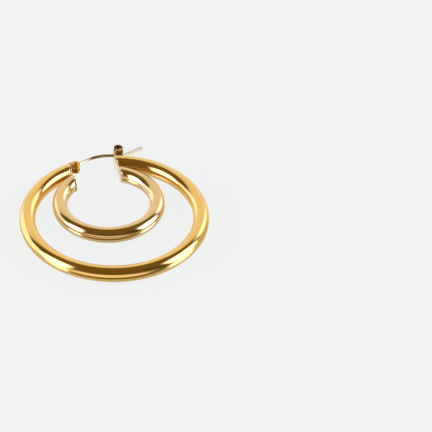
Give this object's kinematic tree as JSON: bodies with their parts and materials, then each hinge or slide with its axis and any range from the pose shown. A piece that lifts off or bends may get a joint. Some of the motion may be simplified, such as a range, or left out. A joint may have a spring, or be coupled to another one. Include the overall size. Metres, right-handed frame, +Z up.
{
  "type": "hoop earring",
  "caption": "Two-tone double hoop earring: a small round-tube hoop inside a large one, joined by end plates, with a hinged ear wire latched in a rolled catch.",
  "frame": {"origin": "middle of the footprint of the earring lying flat and latched, on the surface that it lies on", "axes": "+Z up along the hoops' axis, +Y towards the closure, +X towards the catch"},
  "size_m": [0.0476, 0.0498, 0.0042],
  "materials": {
    "yellow_gold": "mirror-polished yellow gold plate",
    "pale_gold": "mirror-polished pale champagne gold plate",
    "fitting_gold": "polished yellow gold plate on small fittings",
    "wire_gold": "drawn and polished gold-plated wire"
  },
  "bodies": {
    "hoops": {"outer_hoop": "yellow_gold", "inner_hoop": "pale_gold", "hinge_plate": "fitting_gold", "catch_plate": "fitting_gold", "hinge_pin": "fitting_gold"},
    "wire": {"ear_wire": "wire_gold"}
  },
  "joints": [
    {"name": "wire_hinge", "type": "hinge", "parent": "hoops", "child": "wire", "pos_m": [-0.0045, 0.02105, 0.0021], "axis": [0, 0, 1], "range_deg": [0, 100]}
  ]
}
